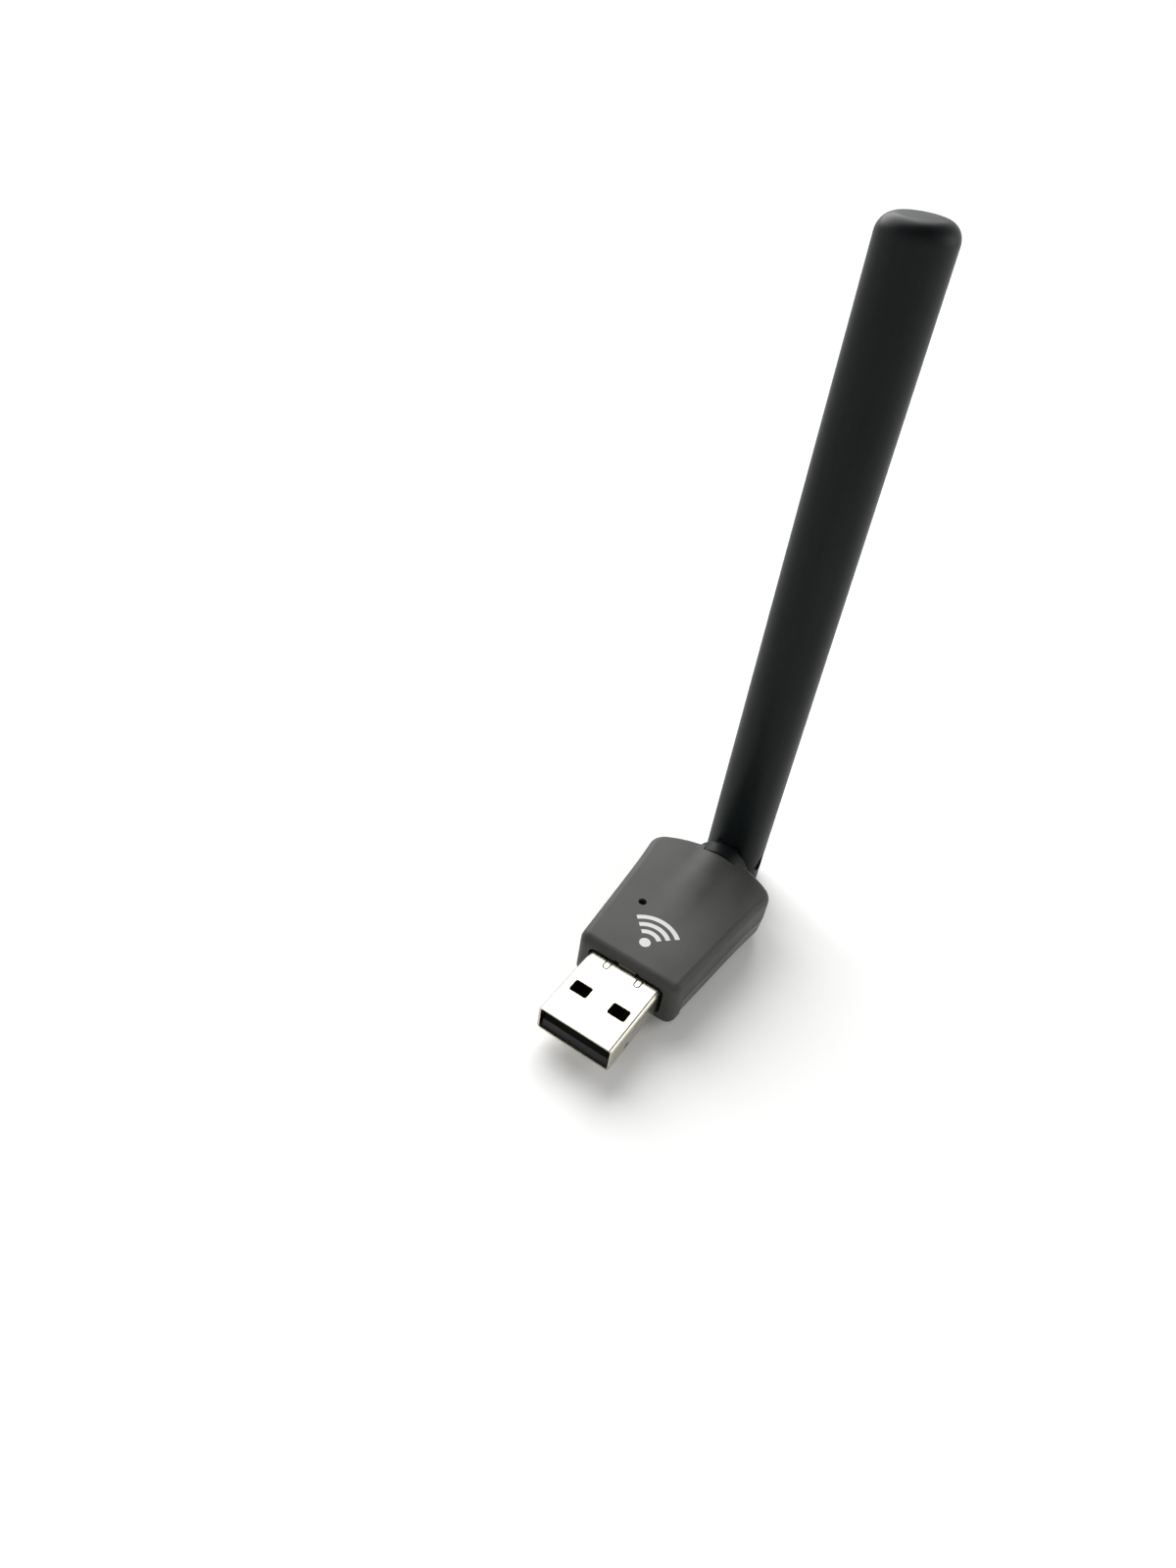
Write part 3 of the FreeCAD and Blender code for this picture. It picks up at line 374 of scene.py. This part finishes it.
class StageLook(bpy.types.PropertyGroup):
    """The camera, the lights and the floor."""
    camera_at: bpy.props.FloatVectorProperty(name="Camera", default=(0.03596, -0.08765, 0.11549), size=3,
                                             unit="LENGTH", description="Where the camera stands")
    azimuth: bpy.props.FloatProperty(name="Azimuth", default=math.radians(-28.06), unit="ROTATION",
                                     description="The way the camera looks, from +Y towards +X")
    elevation: bpy.props.FloatProperty(name="Elevation", default=math.radians(40.165), unit="ROTATION",
                                       description="How far the camera looks down")
    roll: bpy.props.FloatProperty(name="Roll", default=math.radians(-8.87), unit="ROTATION",
                                  description="How far the camera's top leans to its right")
    lens: bpy.props.FloatProperty(name="Lens", default=23.108, description="Focal length, in mm")
    key_at: bpy.props.FloatVectorProperty(name="Key from", default=(-0.26, 0.22, 0.30), size=3,
                                          unit="LENGTH", description="The side that the key shines from")
    key_power: bpy.props.FloatProperty(name="Key", default=3.6,
                                       description="Strength of the broad key, in watts on a square metre")
    key_spread: bpy.props.FloatProperty(name="Key spread", default=math.radians(60.0), unit="ROTATION",
                                        description="How wide the key looks, so how soft its shadows are")
    rim_at: bpy.props.FloatVectorProperty(name="Rim from", default=(0.28, 0.20, 0.20), size=3,
                                          unit="LENGTH", description="Where the rim light hangs")
    rim_power: bpy.props.FloatProperty(name="Rim", default=0.3, unit="POWER",
                                       description="Power of the light on the far right")
    rim_side: bpy.props.FloatProperty(name="Rim size", default=0.2, unit="LENGTH",
                                      description="Side of the light on the far right")
    walls: bpy.props.FloatProperty(name="Walls", default=1.0,
                                   description="Strength of the white surround at the horizon")
    sky: bpy.props.FloatProperty(name="Ceiling", default=0.1,
                                 description="Strength of the surround overhead")
    wall_top: bpy.props.FloatProperty(name="Wall top", default=0.12,
                                      description="Sine of the height where the walls begin to darken")
    floor_colour: bpy.props.StringProperty(name="Floor", default="#F2F2F0",
                                           description="sRGB hex colour of the floor")
    floor_reach: bpy.props.FloatProperty(name="Floor reach", default=30.0, unit="LENGTH",
                                         description="How far the floor goes on every side")
    floor_gap: bpy.props.FloatProperty(name="Floor gap", default=0.0002, unit="LENGTH",
                                       description="How far the floor lies under the lowest piece")


# ---------------------------------------------------------------- operators

class ADAPTER_OT_case(bpy.types.Operator):
    """Finish the two moulded covers and print the wireless sign"""
    bl_idname = "adapter.case"
    bl_label = "Case"

    def execute(self, context):
        look = context.scene.adapter_case
        sign = {
            "x": look.sign_at[0],
            "y": look.sign_at[1],
            "lowest": look.sign_lowest,
            "dot": look.sign_radius * DOT_SHARE,
            "stroke": look.sign_radius * STROKE_SHARE,
            "rings": [look.sign_radius * share for share in RING_SHARES],
            "ink": look.ink,
        }
        top = spark_textured_abs("abs_spark_textured_printed", look.shade, look.tint, look.grain,
                                 look.roughness, look.sheen, sign)
        # Lower cover: the top's plastic painted lighter, as painted light from the floor's bounce.
        plain = spark_textured_abs("abs_spark_textured", look.floor_lit_low_shade, look.floor_lit_low_tint, look.grain,
                                   look.roughness, look.sheen)
        smooth_copy("top_cover", top)
        smooth_copy("bottom_cover", plain)
        return {"FINISHED"}


class ADAPTER_OT_plug(bpy.types.Operator):
    """Finish the plug's shell, its insulator and its contacts"""
    bl_idname = "adapter.plug"
    bl_label = "Plug"

    def execute(self, context):
        look = context.scene.adapter_plug
        nickel = rolled_metal("nickel_plated_rolled_steel", look.nickel_low, look.nickel_high,
                              look.roughness, along="Y")
        smooth_copy("usb_shell", nickel)
        # The insulator is black plastic, painted darker still as painted shade for the shadow inside the
        # plug's mouth.
        coat("usb_insulator", cast_resin("insulator_glass_filled_painted_shade", "#020202", "#050505", roughness=0.7))
        gold = rolled_metal("gold_flashed_contact", "#C79B4A", "#E2BC6C", roughness=0.25, along="Y")
        for node in sorted(SLOT_OF):
            if SLOT_OF[node] == "gold_contact":
                coat(node, gold)
        return {"FINISHED"}


class ADAPTER_OT_board(bpy.types.Operator):
    """Finish the circuit board and everything that stands on it"""
    bl_idname = "adapter.board"
    bl_label = "Board"

    def execute(self, context):
        finishes = {
            "board_laminate": solder_mask("laminate_solder_mask", "#0C3A1E", "#1D5A30"),
            "chip_resin": cast_resin("chip_moulded_resin", "#101011", "#1D1D1E", roughness=0.45),
            "crystal_can": rolled_metal("crystal_can_drawn_steel", "#A9A8A2", "#C6C5C0",
                                        roughness=0.3, along="X"),
            "ferrite": cast_resin("ferrite_pressed", "#262627", "#3A3A3B", roughness=0.6),
            "led_lens": cast_resin("lamp_clear_resin", "#C6CDBD", "#DDE2D2", roughness=0.2),
            "ceramic_chip": cast_resin("capacitor_fired_ceramic", "#7C6145", "#9A7C5A", roughness=0.5),
            "cable_jacket": cast_resin("cable_jacket_extruded", "#1A1A1B", "#29292A",
                                       roughness=0.35, speck_mm=0.8),
        }
        for node, slot in SLOT_OF.items():
            if slot in finishes:
                coat(node, finishes[slot])
        return {"FINISHED"}


class ADAPTER_OT_swivel(bpy.types.Operator):
    """Finish the swivel's collar and the two hinge pins"""
    bl_idname = "adapter.swivel"
    bl_label = "Swivel"

    def execute(self, context):
        look = context.scene.adapter_antenna
        acetal = satin_moulding("acetal_satin_black", look.shade, look.tint, look.roughness, look.sheen)
        steel = rolled_metal("pin_turned_steel", "#6E6E6C", "#8C8C89", roughness=0.35, along="X")
        smooth_copy("swivel_collar", acetal)
        for node in ("hinge_pin_left", "hinge_pin_right"):
            smooth_copy(node, steel)
        return {"FINISHED"}


class ADAPTER_OT_antenna(bpy.types.Operator):
    """Finish the antenna's fork and turn its long moulded cover"""
    bl_idname = "adapter.antenna"
    bl_label = "Antenna"

    def execute(self, context):
        look = context.scene.adapter_antenna
        black = satin_moulding("antenna_satin_black", look.shade, look.tint, look.roughness, look.sheen)
        smooth_copy("antenna_fork", black)
        self.turn_cover(look, black)
        brass = rolled_metal("sleeve_drawn_brass", "#B08D4C", "#CDAA66", roughness=0.3, along="Z")
        copper = rolled_metal("whip_tinned_copper", "#B57B55", "#D09A72", roughness=0.3, along="Z")
        shrink = cast_resin("shrink_polyolefin", "#101010", "#1B1B1B", roughness=0.55, speck_mm=0.6)
        coat("radiator_sleeve", brass)
        coat("radiator_whip", copper)
        coat("heat_shrink", shrink)
        return {"FINISHED"}

    def turn_cover(self, look, black):
        """Turn the hollow cover from its open foot up to its rounded, closed tip."""
        low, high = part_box("antenna_tube")
        centre = Vector(((low.x + high.x) / 2, (low.y + high.y) / 2, 0.0))
        radius = (high.x - low.x) / 2
        bore = radius - look.wall
        ceiling = high.z - look.tip_wall
        curve = look.tip_round
        turns = [math.radians(90 * step / TIP_STEPS) for step in range(TIP_STEPS + 1)]
        arc = [(radius - curve + curve * math.cos(turn), high.z - curve + curve * math.sin(turn))
               for turn in turns]
        outside = [(bore, low.z), (radius, low.z), *arc, (0.0, high.z)]
        inside = [(0.0, ceiling), (bore, ceiling), (bore, low.z)]
        lathe("antenna_tube", outside + inside, centre, black)


class ADAPTER_OT_stage(bpy.types.Operator):
    """Lay the floor, hang the lights and stand the camera"""
    bl_idname = "adapter.stage"
    bl_label = "Stage"

    def execute(self, context):
        look = context.scene.adapter_stage
        self.lay_floor(look)
        self.light(context, look)
        self.stand_camera(context, look)
        return {"FINISHED"}

    def lay_floor(self, look):
        """A plain board under the whole object."""
        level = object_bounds()[0].z - look.floor_gap
        work = bmesh.new()
        bmesh.ops.create_grid(work, x_segments=1, y_segments=1, size=look.floor_reach,
                              matrix=Matrix.Translation((0.0, 0.0, level)))
        mesh = bpy.data.meshes.new("floor")
        work.to_mesh(mesh)
        work.free()
        mesh.materials.append(painted_board("studio_board_sprayed", look.floor_colour))
        floor = bpy.data.objects.new("floor", mesh)
        bpy.context.scene.collection.objects.link(floor)
        floor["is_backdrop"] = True

    def light(self, context, look):
        """A broad, even key from the far left, a small rim on the far right, and a pale surround."""
        key = bpy.data.lights.new("key", "SUN")
        key.energy = look.key_power
        key.angle = look.key_spread
        self.hang(context, key, look.key_at)
        rim = bpy.data.lights.new("rim", "AREA")
        rim.shape = "SQUARE"
        rim.size = look.rim_side
        rim.energy = look.rim_power
        self.hang(context, rim, look.rim_at)
        context.scene.world = self.surround(look)
        context.scene.view_settings.view_transform = "Standard"

    def surround(self, look):
        """A room with white walls and a greyer ceiling, the same on every side."""
        world = bpy.data.worlds.new("surround")
        world.use_nodes = True
        tree = world.node_tree
        way = add_node(tree, "ShaderNodeTexCoord").outputs["Generated"]
        height = add_node(tree, "ShaderNodeSeparateXYZ", {"Vector": way}).outputs["Z"]
        strength = add_node(tree, "ShaderNodeMapRange", {
            "Value": height, "From Min": look.wall_top, "From Max": 1.0,
            "To Min": look.walls, "To Max": look.sky}, interpolation_type="SMOOTHERSTEP")
        back = tree.nodes["Background"]
        back.inputs["Color"].default_value = (1.0, 1.0, 1.0, 1.0)
        tree.links.new(strength.outputs["Result"], back.inputs["Strength"])
        return world

    def hang(self, context, lamp, at):
        """Hang a light at a point and turn it towards the middle of the object."""
        holder = bpy.data.objects.new(lamp.name, lamp)
        holder.location = at
        holder.rotation_euler = (-Vector(at)).to_track_quat("-Z", "Y").to_euler()
        context.scene.collection.objects.link(holder)

    def stand_camera(self, context, look):
        """Turn the camera by its azimuth, its elevation and its roll."""
        turn, down, lean = look.azimuth, look.elevation, look.roll
        ahead = Vector((math.sin(turn) * math.cos(down), math.cos(turn) * math.cos(down), -math.sin(down)))
        level_right = Vector((math.cos(turn), -math.sin(turn), 0.0))
        level_up = level_right.cross(ahead)
        right = level_right * math.cos(lean) - level_up * math.sin(lean)
        up = level_up * math.cos(lean) + level_right * math.sin(lean)
        lens = bpy.data.cameras.new("camera")
        lens.lens = look.lens
        lens.clip_start = CAMERA_NEAR
        camera = bpy.data.objects.new("camera", lens)
        turned = Matrix((right, up, -ahead)).transposed().to_4x4()
        camera.matrix_world = Matrix.Translation(look.camera_at) @ turned
        context.scene.collection.objects.link(camera)
        context.scene.camera = camera


class ADAPTER_PT_panel(bpy.types.Panel):
    """Lists the adapter's pieces and their settings."""
    bl_label = "USB wifi adapter"
    bl_idname = "ADAPTER_PT_panel"
    bl_space_type = "VIEW_3D"
    bl_region_type = "UI"
    bl_category = "Adapter"

    def draw(self, context):
        for group, look, operators in STEPS:
            column = self.layout.column()
            column.label(text=group)
            settings = getattr(context.scene, f"adapter_{look}")
            for name in settings.__annotations__:
                column.prop(settings, name)
            for operator in operators:
                column.operator(operator.bl_idname)


STEPS = (
    ("Case", "case", (ADAPTER_OT_case,)),
    ("Plug and board", "plug", (ADAPTER_OT_plug, ADAPTER_OT_board)),
    ("Antenna", "antenna", (ADAPTER_OT_swivel, ADAPTER_OT_antenna)),
    ("Stage", "stage", (ADAPTER_OT_stage,)),
)
LOOKS = {"case": CaseLook, "plug": PlugLook, "antenna": AntennaLook, "stage": StageLook}


def register():
    """Register the settings, the operators and the panel."""
    for name, look in LOOKS.items():
        bpy.utils.register_class(look)
        setattr(bpy.types.Scene, f"adapter_{name}", bpy.props.PointerProperty(type=look))
    for _, _, operators in STEPS:
        for operator in operators:
            bpy.utils.register_class(operator)
    bpy.utils.register_class(ADAPTER_PT_panel)


def unregister():
    """Take everything away again."""
    bpy.utils.unregister_class(ADAPTER_PT_panel)
    for _, _, operators in reversed(STEPS):
        for operator in reversed(operators):
            bpy.utils.unregister_class(operator)
    for name, look in LOOKS.items():
        delattr(bpy.types.Scene, f"adapter_{name}")
        bpy.utils.unregister_class(look)


def main():
    """Dress the whole adapter."""
    register()
    for _, _, operators in STEPS:
        for operator in operators:
            module, name = operator.bl_idname.split(".")
            getattr(getattr(bpy.ops, module), name)()


if __name__ == "__main__":
    main()
